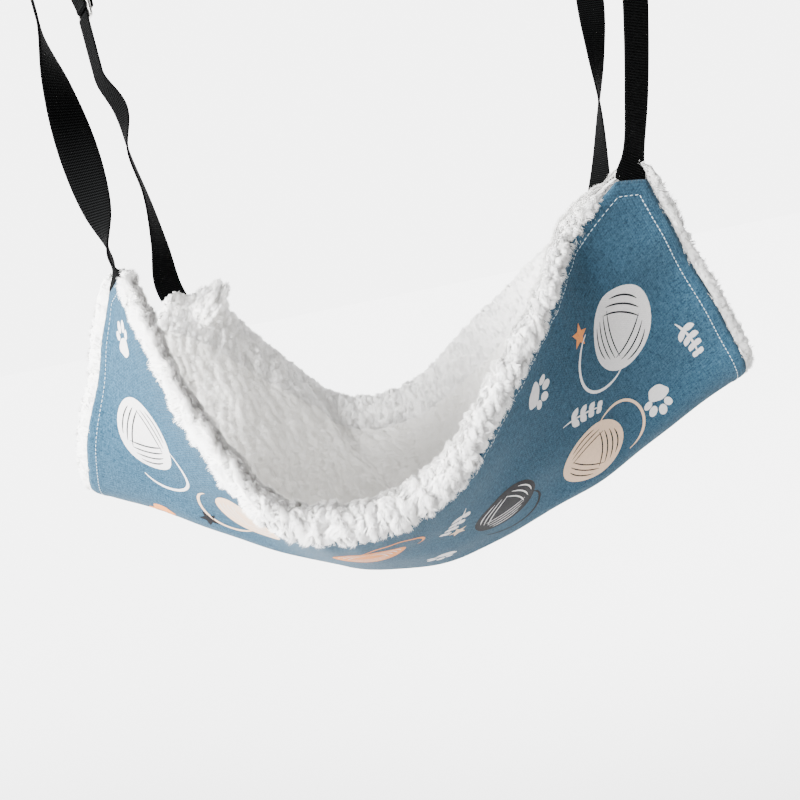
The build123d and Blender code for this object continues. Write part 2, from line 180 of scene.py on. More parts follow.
def hung(along, across, depth):
    """Points of the hanging bed, from the distance along it, across it and into it."""
    along, across, depth = (np.atleast_1d(np.asarray(a, float)) for a in (along, across, depth))
    rows = smooth_curve(hang[:, 0], hang[:, 1:], hang_slopes, np.clip(along / bed_length, 0, 1))
    wall, lean, roll = (np.radians(rows[:, i]) for i in range(3))
    radius = rows[:, 3]
    arc = np.minimum(np.abs(across) / radius, wall)
    rest = np.maximum(np.abs(across) - radius * wall, 0)
    side = np.where(across < 0, -1.0, 1.0)
    y = side * ((radius - depth) * np.sin(arc) + rest * np.cos(wall))
    z = radius - (radius - depth) * np.cos(arc) + rest * np.sin(wall)
    y, z = y * np.cos(roll) - z * np.sin(roll), y * np.sin(roll) + z * np.cos(roll)
    x0, z0 = np.interp(along, fold_steps, fold_x), np.interp(along, fold_steps, fold_z)
    return np.stack((x0 + np.sin(lean) * z, y, z0 + np.cos(lean) * z), axis=1)


def to_end(along):
    return np.minimum(along, bed_length - along)


def to_rim(across):
    return bed_width / 2 - np.abs(across)


def creases(along, across):
    """How far the cloth stands in or out: slack between the straps and puckers at the hems."""
    broad_slack, fine_slack, rim_pucker, end_pull = 0.0014, 0.0008, 0.0006, 0.0016
    taut_corner, slack_run = 0.022, 0.03
    end, rim = to_end(along), to_rim(across)
    near_rim = np.exp(-rim / 0.030)
    slack = broad_slack * np.sin(along * 31 + across * 17 + 1.1) * np.sin(across * 43 - along * 11 + 0.4)
    slack += fine_slack * np.sin(along * 71 - across * 39) * np.sin(across * 57 + along * 23 + 2.0)
    pucker = rim_pucker * near_rim * (np.sin(along * 330) + 0.7 * np.sin(along * 211 + 1.3))
    pull = end_pull * np.exp(-end / 0.07) * np.sin(np.abs(across) * 95 + np.sign(across) * 0.8)
    to_corner = np.sqrt(rim**2 + end**2)
    return (slack + pucker + pull) * np.clip((to_corner - taut_corner) / slack_run, 0, 1) ** 2


def hem_rise(along, across):
    """The turned hem stands a little proud, and its edge turns under."""
    hem_height, edge_drop, stitch_dip = 0.0007, 0.0009, 0.0004
    end, rim = to_end(along), to_rim(across)
    corner = (rim + end - corner_cut) / sqrt(2)
    edge = np.maximum(np.minimum(np.minimum(rim, end), corner), 0)
    band = 1 / (1 + np.exp((edge - hem_width) / 0.0006))
    turned_under = np.exp(-edge / 0.0012)
    stitch_line = np.exp(-((edge - stitch_inset) / 0.0012) ** 2)
    return hem_height * band - edge_drop * turned_under - stitch_dip * stitch_line


def on_canvas(along, across, proud=0.0):
    """Points on the canvas's outer face, or a little proud of it."""
    depth = -creases(along, across) - hem_rise(along, across) - proud
    return hung(along, across, depth)


def select_only(piece):
    bpy.ops.object.select_all(action="DESELECT")
    piece.select_set(True)
    bpy.context.view_layer.objects.active = piece


def cut_flat(place, way, clear=False):
    """Cuts the mesh being edited along a plane, and may clear what lies beyond it."""
    bpy.ops.mesh.select_all(action="SELECT")
    bpy.ops.mesh.bisect(plane_co=place, plane_no=way, clear_outer=clear)


def cut_corners(margin=0.0):
    """Takes the four corners off the flat cloth being edited."""
    for end, side in ((0, -1), (0, 1), (1, -1), (1, 1)):
        cut_x = end * bed_length + (1 - 2 * end) * (corner_cut + margin)
        cut_flat((cut_x, side * bed_width / 2, 0), (2 * end - 1, side, 0), clear=True)


def turn_faces_out(piece, flip=False):
    """Turns faces to look outward: all of them over, or as a closed shell's."""
    select_only(piece)
    bpy.ops.object.mode_set(mode="EDIT")
    bpy.ops.mesh.select_all(action="SELECT")
    if flip:
        bpy.ops.mesh.flip_normals()
    else:
        bpy.ops.mesh.normals_make_consistent(inside=False)
    bpy.ops.object.mode_set(mode="OBJECT")


def flat_places(mesh):
    """Where a mesh's points are on the flat cloth."""
    places = np.empty(len(mesh.vertices) * 3)
    mesh.vertices.foreach_get("co", places)
    return places.reshape(-1, 3)[:, :2]


def lay_uv(mesh, places):
    """Sets a mesh's first UV map, in metres, from a place for each point."""
    corners = np.empty(len(mesh.loops), dtype=int)
    mesh.loops.foreach_get("vertex_index", corners)
    mesh.uv_layers[0].data.foreach_set("uv", places[corners].ravel())


bpy.ops.object.select_all(action="DESELECT")
bpy.ops.mesh.primitive_grid_add(
    x_subdivisions=230, y_subdivisions=170, size=1, location=(bed_length / 2, 0, 0),
)
canvas = bpy.context.object
canvas.name = "canvas_outer"
canvas.scale = (bed_length, bed_width, 1)
bpy.ops.object.transform_apply(location=True, rotation=True, scale=True)
bpy.ops.object.mode_set(mode="EDIT")
cut_corners()
bpy.ops.object.mode_set(mode="OBJECT")
flat = flat_places(canvas.data)
lay_uv(canvas.data, flat)
canvas.data.vertices.foreach_set("co", on_canvas(flat[:, 0], flat[:, 1]).ravel())
canvas.data.update()
turn_faces_out(canvas, flip=True)
bpy.ops.object.shade_smooth()
thick = canvas.modifiers.new("thickness", "SOLIDIFY")
thick.thickness = canvas_thickness
thick.offset = -1
bpy.ops.object.modifier_apply(modifier="thickness")


def maths(tree, operation, *given, clamp=False):
    """The output of a maths node."""
    node = add_node(tree, "ShaderNodeMath", operation=operation, use_clamp=clamp,
                    inputs=dict(enumerate(given)))
    return node.outputs[0]


def noise_map(tree, place, scale, detail=2.0, roughness=0.5):
    """Noise over a place, from 0 to 1."""
    node = add_node(tree, "ShaderNodeTexNoise", inputs={
        "Vector": place, "Scale": scale, "Detail": detail, "Roughness": roughness,
    })
    return node.outputs["Fac"]


def tint(shader, share, dark, light):
    """Colours a shader from dark to light by a share."""
    tree = shader.id_data
    tone = add_node(tree, "ShaderNodeMix", data_type="RGBA",
                    inputs={0: share, 6: (*dark, 1), 7: (*light, 1)})
    tree.links.new(tone.outputs[2], shader.inputs["Base Color"])


def relief(shader, *layers):
    """Bumps on a shader, one over the other: each one's strength, depth in metres and height."""
    tree, below = shader.id_data, {}
    for strength, depth, height in layers:
        bump = add_node(tree, "ShaderNodeBump", inputs={
            "Strength": strength, "Distance": depth, "Height": height, **below,
        })
        below = {"Normal": bump.outputs[0]}
    tree.links.new(bump.outputs[0], shader.inputs["Normal"])


def cloth_weave(tree, shader, light, dark, thread):
    """Plain weave on the cloth's own UV map, in metres: threads that pass over and under,
    each a slightly different shade, with thicker stretches of yarn."""
    cloth = add_node(tree, "ShaderNodeUVMap").outputs["UV"]
    parts = add_node(tree, "ShaderNodeSeparateXYZ", inputs={0: cloth})
    ribs = []
    for axis in ("X", "Y"):
        wave = maths(tree, "SINE", maths(tree, "MULTIPLY", parts.outputs[axis], pi / thread))
        ribs.append(maths(tree, "ABSOLUTE", wave))
    over = add_node(tree, "ShaderNodeTexChecker", inputs={
        "Vector": cloth, "Scale": 1 / thread, "Color1": (0, 0, 0, 1), "Color2": (1, 1, 1, 1),
    }).outputs["Fac"]
    height = add_node(tree, "ShaderNodeMix", inputs={0: over, 2: ribs[0], 3: ribs[1]}).outputs[0]
    yarns = []
    for stretch in ((190, 900, 1), (900, 190, 1)):
        place = add_node(tree, "ShaderNodeMapping", inputs={"Vector": cloth, "Scale": stretch})
        yarns.append(noise_map(tree, place.outputs[0], 1.0))
    yarn = add_node(tree, "ShaderNodeMix", inputs={0: over, 2: yarns[0], 3: yarns[1]}).outputs[0]
    mottle = noise_map(tree, cloth, 340.0, 4.0, 0.7)
    shade = maths(tree, "MULTIPLY_ADD", yarn, 2.6, -1.15)
    shade = maths(tree, "MULTIPLY_ADD", mottle, 0.7, shade, clamp=True)
    tint(shader, shade, dark, light)
    relief(shader, (0.5, 0.0003, height), (0.35, 0.0004, yarn))


canvas_cloth, tree, shader = new_material("canvas_cloth", (0.08, 0.19, 0.28), 0.9, specular=0.1)
cloth_weave(tree, shader, (0.040, 0.103, 0.160), (0.007, 0.029, 0.052), 0.0012)
shader.inputs["Sheen Weight"].default_value = 0.05
shader.inputs["Sheen Roughness"].default_value = 0.5
canvas.data.materials.append(canvas_cloth)
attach(canvas, "bed")
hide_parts("canvas_cover")


# Print: flat ink on the canvas, cut as thin films a hair above it. It's a scatter of
# yarn balls, paw prints, sprigs and stars in four inks.
ink_colours = {
    "ink_white": ((0.74, 0.72, 0.71), (0.62, 0.60, 0.60)),
    "ink_black": ((0.010, 0.010, 0.012), (0.005, 0.005, 0.007)),
    "ink_tan": ((0.78, 0.56, 0.40), (0.66, 0.46, 0.32)),
    "ink_orange": ((0.80, 0.30, 0.09), (0.66, 0.22, 0.06)),
}


def turned(x, y, px, py, angle):
    """A point px, py away from x, y, along axes that are turned by an angle."""
    return x + px * cos(angle) - py * sin(angle), y + px * sin(angle) + py * cos(angle)


def ring(x, y, rx, ry, turn, count=40, wobble=0.0, phase=0.0):
    """A closed outline: an ellipse, a little uneven, as drawn by hand."""
    points = []
    for i in range(count):
        a = tau * i / count
        r = 1 + wobble * (sin(3 * a + phase) + 0.6 * sin(5 * a + 2 * phase))
        points.append(turned(x, y, rx * r * cos(a), ry * r * sin(a), turn))
    return points


def brush(line, width):
    """A brush stroke along a line of points, thinner at its ends."""
    taper = 0.35
    left, other = [], []
    for i, (x, y) in enumerate(line):
        ax, ay = line[max(i - 1, 0)]
        bx, by = line[min(i + 1, len(line) - 1)]
        length = sqrt((bx - ax) ** 2 + (by - ay) ** 2) or 1
        nx, ny = -(by - ay) / length, (bx - ax) / length
        share = i / (len(line) - 1)
        half = width / 2 * (taper + (1 - taper) * min(1, 5 * min(share, 1 - share)))
        left.append((x + nx * half, y + ny * half))
        other.append((x - nx * half, y - ny * half))
    return left + other[::-1]


def sweep_line(x, y, start, curl, length, count=26):
    """A wandering line: it sets off at an angle and curls as it goes."""
    points, angle = [], start
    for i in range(count):
        points.append((x, y))
        angle += curl / count
        x, y = x + cos(angle) * length / count, y + sin(angle) * length / count
    return points


films = {name: [] for name in ink_colours}
white, black, tan, orange = ink_colours


def yarn_ball(x, y, size, ink, thread, turn):
    """A ball of yarn: a disc, bands of thread across it and a loose end that trails off."""
    films[ink].append((ring(x, y, size, size * 0.94, turn, wobble=0.012, phase=turn), 0))
    for swing, bows in (
        (0.0, (-0.74, -0.54, -0.34)), (2.1, (-0.76, -0.58, -0.40, -0.22)), (4.2, (-0.72, -0.52, -0.32)),
    ):
        for bow in bows:
            chord = size * 0.62 * sqrt(1 - bow * bow)
            band = []
            for i in range(13):
                px = chord * (i / 6 - 1)
                py = size * (bow * 0.94 - 0.10 * (1 - (px / chord) ** 2))
                band.append(turned(x, y, px, py, turn + swing))
            films[thread].append((brush(band, 0.0012), 1))
    tail_start = turned(x, y, size * 0.9, 0, turn - 0.8)
    films[ink].append((brush(sweep_line(*tail_start, turn - 0.3, 3.6, size * 3.1), 0.0024), 0))


def paw_print(x, y, size, ink, turn):
    """A paw print: a broad pad and four toes."""
    films[ink].append((ring(x, y, size * 0.62, size * 0.48, turn, wobble=0.06, phase=1.2), 0))
    for spread, reach, toe in (
        (-0.78, 0.86, 0.21), (-0.28, 1.05, 0.24), (0.28, 1.05, 0.24), (0.78, 0.86, 0.21),
    ):
        a = turn + pi / 2 - spread
        toe_place = turned(x, y, size * reach, 0, a)
        films[ink].append((ring(*toe_place, size * toe, size * toe * 1.35, a - pi / 2, count=22), 0))


def sprig(x, y, size, ink, turn):
    """A sprig: a bowed stem with pairs of pointed leaves."""
    stem = sweep_line(x, y, turn, 0.5, size * 2, count=18)
    films[ink].append((brush(stem, 0.0016), 0))
    for i in (4, 8, 12, 16):
        px, py = stem[i]
        ax, ay = stem[i - 1]
        heading = atan2(py - ay, px - ax)
        for side in (-1, 1):
            a = heading + side * 0.85
            leaf_length, leaf_width = size * 0.52 * (1.15 - i / 28), size * 0.15
            leaf = []
            for k in range(16):
                t = k / 8
                s = t if t <= 1 else 2 - t
                w = leaf_width * sin(pi * s) ** 0.8 * (1 if t <= 1 else -1)
                leaf.append(turned(px, py, leaf_length * s, w, a))
            films[ink].append((leaf, 0))


def star(x, y, size, ink, turn):
    """A small five pointed star."""
    points = [turned(x, y, size * (0.45 if i % 2 else 1), 0, turn + pi * i / 5) for i in range(10)]
    films[ink].append((points, 0))


yarn_ball(0.052, -0.105, 0.027, white, black, 0.7)
paw_print(0.035, -0.163, 0.0125, white, 2.6)
sprig(0.093, -0.172, 0.020, white, -1.0)
yarn_ball(0.135, -0.075, 0.026, tan, white, 2.4)
star(0.098, -0.045, 0.009, black, 0.4)
paw_print(0.155, -0.150, 0.015, black, -0.4)
sprig(0.205, -0.045, 0.022, white, 0.9)
yarn_ball(0.235, -0.128, 0.027, orange, white, -0.9)
paw_print(0.285, -0.060, 0.014, white, 0.7)
sprig(0.312, -0.150, 0.021, white, 1.9)
yarn_ball(0.340, -0.088, 0.029, black, white, 1.2)
star(0.300, -0.108, 0.008, tan, 0.9)
paw_print(0.392, -0.168, 0.014, white, -0.9)
yarn_ball(0.420, -0.060, 0.029, tan, black, -0.2)
sprig(0.405, -0.112, 0.021, white, 0.2)
yarn_ball(0.487, -0.128, 0.030, white, black, 2.9)
paw_print(0.487, -0.060, 0.014, white, 0.5)
star(0.452, -0.158, 0.009, orange, 0.2)
sprig(0.522, -0.095, 0.017, white, 1.2)
paw_print(0.058, -0.030, 0.014, orange, 0.2)
yarn_ball(0.030, 0.040, 0.026, black, white, 1.8)
sprig(0.085, 0.020, 0.021, white, 0.4)
yarn_ball(0.110, 0.110, 0.027, orange, white, 0.2)
paw_print(0.045, 0.125, 0.014, white, 1.4)
paw_print(0.165, 0.045, 0.014, tan, 2.8)
sprig(0.060, 0.172, 0.020, white, -0.4)
yarn_ball(0.195, 0.140, 0.027, white, black, -1.4)
yarn_ball(0.240, 0.030, 0.026, white, black, 2.2)
sprig(0.255, 0.085, 0.021, black, 0.8)
paw_print(0.262, 0.160, 0.015, white, 0.3)
yarn_ball(0.325, 0.110, 0.028, tan, white, 0.9)
paw_print(0.325, 0.020, 0.014, orange, -0.8)
sprig(0.355, 0.055, 0.021, white, 0.1)
star(0.380, 0.165, 0.009, white, 0.5)
yarn_ball(0.420, 0.120, 0.028, black, white, -0.6)
paw_print(0.455, 0.030, 0.015, white, 1.7)
yarn_ball(0.505, 0.060, 0.027, orange, white, 3.0)
sprig(0.470, 0.165, 0.021, white, -0.2)
paw_print(0.512, 0.140, 0.014, tan, 0.4)



def new_piece(name, points, faces):
    """A piece in the scene, from the points and faces of its mesh."""
    mesh = bpy.data.meshes.new(name)
    mesh.from_pydata(points, [], faces)
    piece = bpy.data.objects.new(name, mesh)
    bpy.context.scene.collection.objects.link(piece)
    return piece


cells_along, cells_across = 92, 67
print_margin = 0.0035
film_lift, film_step = 0.00016, 0.00010
for ink, (light, dark) in ink_colours.items():
    points, faces, levels = [], [], []
    for outline, level in films[ink]:
        faces.append(list(range(len(points), len(points) + len(outline))))
        points += [(x, y, 0.0) for x, y in outline]
        levels += [level] * len(outline)
    film = new_piece("print_" + ink, points, faces)
    mesh = film.data
    raised = mesh.attributes.new("raised", "FLOAT", "POINT")
    raised.data.foreach_set("value", np.array(levels, float))
    select_only(film)
    bpy.ops.object.mode_set(mode="EDIT")
    bpy.ops.mesh.select_all(action="SELECT")
    bpy.ops.mesh.quads_convert_to_tris()
    bpy.ops.mesh.tris_convert_to_quads()
    for i in range(1, cells_along):
        cut_flat((bed_length * i / cells_along, 0, 0), (1, 0, 0))
    for i in range(1, cells_across):
        cut_flat((0, bed_width * (i / cells_across - 0.5), 0), (0, 1, 0))
    cut_flat((print_margin, 0, 0), (-1, 0, 0), clear=True)
    cut_flat((bed_length - print_margin, 0, 0), (1, 0, 0), clear=True)
    cut_flat((0, print_margin - bed_width / 2, 0), (0, -1, 0), clear=True)
    cut_flat((0, bed_width / 2 - print_margin, 0), (0, 1, 0), clear=True)
    cut_corners(print_margin)
    bpy.ops.object.mode_set(mode="OBJECT")
    flat = flat_places(mesh)
    level = np.empty(len(mesh.vertices))
    mesh.attributes["raised"].data.foreach_get("value", level)
    mesh.uv_layers.new(name="UVMap")
    lay_uv(mesh, flat)
    place = on_canvas(flat[:, 0], flat[:, 1], film_lift + film_step * level)
    mesh.vertices.foreach_set("co", place.ravel())
    mesh.update()
    turn_faces_out(film, flip=True)
    bpy.ops.object.shade_smooth()
    ink_cloth, tree, shader = new_material("cloth_" + ink, light, 0.8, specular=0.2)
    cloth_weave(tree, shader, light, dark, 0.0009)
    mesh.materials.append(ink_cloth)
    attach(film, "bed")


# Topstitching: one row of pale thread 8 mm in from the canvas's edge, all the way
# round, which holds the turned hem, the fleece and the ends of the straps.
stitch_pitch, stitch_length = 0.0033, 0.0024
thread_radius, thread_lift, thread_bulge = 0.00028, 0.00022, 0.00026
half_seam, far_seam = bed_width / 2 - stitch_inset, bed_length - stitch_inset
corner_run = corner_cut - stitch_inset * (2 - sqrt(2))
seam = [
    (stitch_inset, -half_seam + corner_run), (stitch_inset + corner_run, -half_seam),
    (far_seam - corner_run, -half_seam), (far_seam, -half_seam + corner_run),
    (far_seam, half_seam - corner_run), (far_seam - corner_run, half_seam),
    (stitch_inset + corner_run, half_seam), (stitch_inset, half_seam - corner_run),
]
bpy.ops.object.select_all(action="DESELECT")
bpy.ops.mesh.primitive_uv_sphere_add(segments=6, ring_count=5, radius=1)
pattern = bpy.context.object
shape = np.array([v.co[:] for v in pattern.data.vertices])
skin = sorted(list(face.vertices) for face in pattern.data.polygons)  # their order varies by run
bpy.data.objects.remove(pattern)
points, faces = [], []
for (ax, ay), (bx, by) in zip(seam, seam[1:] + seam[:1]):
    run = sqrt((bx - ax) ** 2 + (by - ay) ** 2)
    heading = atan2(by - ay, bx - ax)
    count = max(int(run / stitch_pitch), 1)
    for i in range(count):
        t = (i + 0.5) / count
        forward, aside = shape[:, 2] * stitch_length / 2, shape[:, 0] * thread_radius
        lay_x, lay_y = turned(ax + (bx - ax) * t, ay + (by - ay) * t, forward, aside, heading)
        place = on_canvas(lay_x, lay_y, thread_lift + shape[:, 1] * thread_bulge)
        faces += [[len(points) + k for k in face] for face in skin]
        points += place.tolist()
stitches = new_piece("topstitching", points, faces)
turn_faces_out(stitches)
bpy.ops.object.shade_smooth()
thread, tree, shader = new_material("sewing_thread", (0.55, 0.66, 0.74), 0.6)
grain = noise_map(tree, add_node(tree, "ShaderNodeTexCoord").outputs["Object"], 900.0)
tint(shader, grain, (0.36, 0.48, 0.58), (0.70, 0.78, 0.83))
stitches.data.materials.append(thread)
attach(stitches, "bed")


# Fleece: the inner layer, a thick pile fabric laid on the canvas and rolled over its
# long edges, where it makes a soft, fluffy rim that thins out into the bed. Its short
# edges stand out past the canvas. The base is one closed shell with matted tufts, a
# slack fold in the hollow, and short pile grown on it below.
fleece_lay, fleece_thickness, rim_radius, overhang = 0.0013, 0.008, 0.0093, 0.008
roll_steps, top_steps, under_steps = 26, 200, 70
rim_taper, under_inset = 0.034, 0.004
corner_reach, corner_ease, corner_fade = 0.005, 0.004, 0.020
webbing_thickness, behind_webbing = 0.0016, 0.0012
webbing_band, webbing_fade = 0.022, 0.008


def eased(x):
    x = np.clip(x, 0, 1)
    return x * x * (3 - 2 * x)


def fleece_profile():
    """One way round the fleece's section: places across the bed, depths into it, and the
    middle place and depth that they shrink to at the ends."""
    half = bed_width / 2
    centre = fleece_lay + rim_radius
    around = np.radians(np.linspace(-90, 88, roll_steps))
    roll_v, roll_d = half + rim_radius * np.cos(around), centre + rim_radius * np.sin(around)
    top_v = np.linspace(half, -half, top_steps + 2)[1:-1]
    thin = eased((half - np.abs(top_v)) / rim_taper)
    top_d = fleece_lay + 2 * rim_radius + (fleece_thickness - 2 * rim_radius) * thin
    under_v = np.linspace(under_inset - half, half - under_inset, under_steps)
    v = np.concatenate((roll_v, top_v, -roll_v[::-1], under_v))
    d = np.concatenate((roll_d, top_d, roll_d[::-1], np.full(under_steps, fleece_lay)))
    mid_v = np.concatenate((np.full(roll_steps, half), top_v, np.full(roll_steps, -half), under_v))
    return v, d, mid_v, fleece_lay + fleece_thickness / 2


def soften_corner(along, across):
    """Draws the fleece in at the cut corners, where the strap is sewn."""
    short = np.maximum(corner_reach - (to_end(along) + to_rim(across)), 0)
    short = short * short / (short + corner_ease)
    along = along + np.where(along < bed_length / 2, 1, -1) * short / 2
    across = across - np.sign(across) * short / 2
    return along, across


def by_corner(along):
    """How near a place is to the strap's foot: 1 beside the cut corner, 0 further along."""
    return 1 - eased((to_end(along) - corner_cut) / corner_fade)


def soft_noise(a, b, seed):
    """Soft noise over a pair of scaled coordinates, from -1 to 1."""
    return np.array([noise.noise((x, y, seed)) for x, y in zip(a, b)])


def puffs(a, b, seed):
    """Round puffs with creases between them, over a pair of scaled coordinates."""
    near = np.array([noise.voronoi((x, y, seed))[0][:2] for x, y in zip(a, b)])
    return eased(1.12 - near[:, 0]) - 0.5 + 0.3 * np.clip(near[:, 1] - near[:, 0], 0, 0.5)


profile_v, profile_d, middle_v, middle_depth = fleece_profile()
ring_count = len(profile_v)
profile_arc = np.concatenate(([0], np.cumsum(np.hypot(np.diff(profile_v), np.diff(profile_d)))))
end_steps = np.array([0.35, 0.65, 0.85, 0.96, 1.0])
stations = np.concatenate((
    -end_steps[::-1] * overhang, np.linspace(0, bed_length, 270), bed_length + end_steps * overhang,
))
beyond = np.maximum(np.maximum(-stations, stations - bed_length), 0) / overhang
swell = np.sqrt(np.maximum(1 - beyond**2, 0.0))
all_along = np.repeat(stations, ring_count)
all_swell = np.repeat(swell, ring_count)
all_v = np.tile(middle_v, len(stations)) + np.tile(profile_v - middle_v, len(stations)) * all_swell
all_d = middle_depth + np.tile(profile_d - middle_depth, len(stations)) * all_swell
all_arc = np.tile(profile_arc, len(stations))
under = np.tile((np.arange(ring_count) >= ring_count - under_steps), len(stations))
# the roll is thickest in the middle of the bed
fullness = 1 - 0.38 * eased((all_along - 0.33) / 0.16) - 0.15 * eased((0.10 - all_along) / 0.08)
all_v -= np.sign(all_v) * np.maximum(np.abs(all_v) - bed_width / 2, 0) * (1 - fullness)
above_pile = np.maximum(all_d - fleece_lay - fleece_thickness, 0)
all_d -= above_pile * (1 - fullness)
# beside the strap the roll thins out, and the fleece lies behind the webbing
thinned = by_corner(all_along)
out_of_bed = np.maximum(np.abs(all_v) - bed_width / 2, 0)
all_v -= np.sign(all_v) * out_of_bed * 0.85 * thinned
in_the_way = eased((np.abs(all_v) - (bed_width / 2 - webbing_band)) / webbing_fade) * thinned
all_d = np.maximum(all_d, in_the_way * (canvas_thickness + webbing_thickness + behind_webbing))
all_along, all_v = soften_corner(all_along, all_v)
rest_place = hung(all_along, all_v, all_d)
outward = hung(all_along, all_v, all_d + 0.001) - rest_place
grid = rest_place.reshape(len(stations), ring_count, 3)
down = np.roll(grid, -1, axis=1) - np.roll(grid, 1, axis=1)
normal = np.cross(np.gradient(grid, axis=0), down).reshape(-1, 3)
normal /= np.linalg.norm(normal, axis=1)[:, None] + 1e-12
from_rim = to_rim(all_v)
loft_width, loft_fade = 0.012, 0.022
end_loft = eased((loft_width - to_end(all_along)) / loft_width)
loft = np.maximum(1 - eased((from_rim - loft_width) / loft_fade), end_loft)
# tufts run across the roll at the rims and slantwise in the bed, where they lie matted
sway = soft_noise(all_along / 0.03, all_arc / 0.03, 7.3) * 0.007
rim_tufts = puffs((all_along + sway) / 0.0085, (all_arc + sway) / 0.0150, 1.5)
slant = 0.62
slant_a = all_along * cos(slant) + all_v * sin(slant) + sway
slant_b = all_v * cos(slant) - all_along * sin(slant) + sway
bed_tufts = puffs(slant_a / 0.0100, slant_b / 0.0230, 4.5)
small_tufts = puffs((all_along - sway) / 0.0046, all_arc / 0.0056, 9.5)
broad = soft_noise(all_along / 0.045, all_arc / 0.055, 3.1)
# a slack fold that runs down the back wall into the hollow, and a ruffle in the back rim
# beside the left strap
fold_across = (all_along - 0.150) * 0.816 + (all_v - 0.200) * 0.578
fold = np.exp(-(fold_across / np.where(fold_across < 0, 0.035, 0.009)) ** 2)
fold *= eased(all_v / 0.09) * eased(from_rim / 0.03) * (1 - eased((all_along - 0.28) / 0.06))
ruffle = np.exp(-((all_along - 0.047) / 0.014) ** 2) * eased((all_v - 0.180) / 0.015)
beyond_canvas = eased(np.repeat(beyond, ring_count) / 0.4)
fold_height, ruffle_height, ruffle_tufts = 0.0085, 0.0160, 0.0100
rise = rim_tufts * (0.0019 + 0.0012 * beyond_canvas) * loft + bed_tufts * 0.0014 * (1 - loft)
rise += small_tufts * (0.0003 + 0.0003 * loft)
rise += (broad * (0.0012 + 0.0014 * (1 - loft)) + fold * fold_height
         + ruffle * (ruffle_height + ruffle_tufts * rim_tufts))
rise *= 1 - 0.75 * in_the_way
rise[under] = -0.0002
if np.mean(np.einsum("ij,ij->i", normal, outward)[~under & (loft == 0)]) < 0:
    normal = -normal
sunk = creases(np.clip(all_along, 0, bed_length), np.clip(all_v, -bed_width / 2, bed_width / 2))
fleece_points = normal * rise[:, None] + hung(all_along, all_v, all_d - sunk)
column = np.arange(ring_count)
row = np.arange(len(stations) - 1)[:, None] * ring_count
beside, further = (column + 1) % ring_count, row + ring_count
quads = np.stack((row + column, further + column, further + beside, row + beside), axis=-1).reshape(-1, 4)
# each end is closed by a strip of triangles from the upper side to the under side
upper = range(2 * roll_steps + top_steps)
lower = range(ring_count - 1, len(upper) - 1, -1)
strip, i, j = [], 0, 0
while i < len(upper) - 1 or j < len(lower) - 1:
    if j == len(lower) - 1 or (i < len(upper) - 1 and middle_v[upper[i + 1]] >= middle_v[lower[j + 1]]):
        strip.append((upper[i], upper[i + 1], lower[j]))
        i += 1
    else:
        strip.append((upper[i], lower[j + 1], lower[j]))
        j += 1
strip = np.array(strip)
caps = np.concatenate((strip, strip + (len(stations) - 1) * ring_count))
starts = np.concatenate((np.arange(len(quads)) * 4, len(quads) * 4 + np.arange(len(caps)) * 3))


def array_piece(name, points, loops, starts):
    """A piece from arrays: its points, the points round its faces, and where each face starts."""
    piece = new_piece(name, [], [])
    mesh = piece.data
    mesh.vertices.add(len(points))
    mesh.vertices.foreach_set("co", points.ravel())
    mesh.loops.add(len(loops))
    mesh.loops.foreach_set("vertex_index", loops.astype(np.int32))
    mesh.polygons.add(len(starts))
    mesh.polygons.foreach_set("loop_start", starts.astype(np.int32))
    mesh.update(calc_edges=True)
    return piece


fleece = array_piece("fleece", fleece_points, np.concatenate((quads.ravel(), caps.ravel())), starts)
turn_faces_out(fleece)
bpy.ops.object.shade_smooth()


def fleece_material(name, light, dark, depth):
    """White pile: broad soft shading, small clumps and streaks of matted fibre."""
    material, tree, shader = new_material(name, light, 0.95, specular=0.1)
    place = add_node(tree, "ShaderNodeTexCoord").outputs["Object"]
    broad, fine = noise_map(tree, place, 26.0, 3.0), noise_map(tree, place, 210.0, 4.0, 0.65)
    curls = add_node(tree, "ShaderNodeTexVoronoi", feature="SMOOTH_F1",
                     inputs={"Vector": place, "Scale": 190.0}).outputs["Distance"]
    shade = maths(tree, "MULTIPLY_ADD", fine, 0.55, -0.05)
    shade = maths(tree, "MULTIPLY_ADD", broad, 0.75, shade, clamp=True)
    tint(shader, shade, dark, light)
    relief(shader, (0.5, depth, curls), (0.6, depth * 0.7, fine))
    return material


fleece_base = fleece_material("fleece_base", (0.93, 0.92, 0.895), (0.82, 0.805, 0.775), 0.0012)
fleece.data.materials.append(fleece_base)
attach(fleece, "bed")
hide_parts("fleece_lining")

shell = fleece_points.reshape(len(stations), ring_count, 3)
# which way the shell's normals point, from the middle of the bed's top face
probe = (len(stations) // 2, roll_steps + top_steps // 2)
probe_along = shell[probe[0] + 1, probe[1]] - shell[probe]
probe_across = shell[probe[0], probe[1] + 1] - shell[probe]
pile_side = 1.0 if np.cross(probe_along, probe_across)[2] > 0 else -1.0


def chance(a, b, seed):
    """A number from 0 to 1 that belongs to a pair of whole numbers."""
    mix = np.sin(a * 12.9898 + b * 78.233 + seed * 37.719) * 43758.5453
    return mix - np.floor(mix)


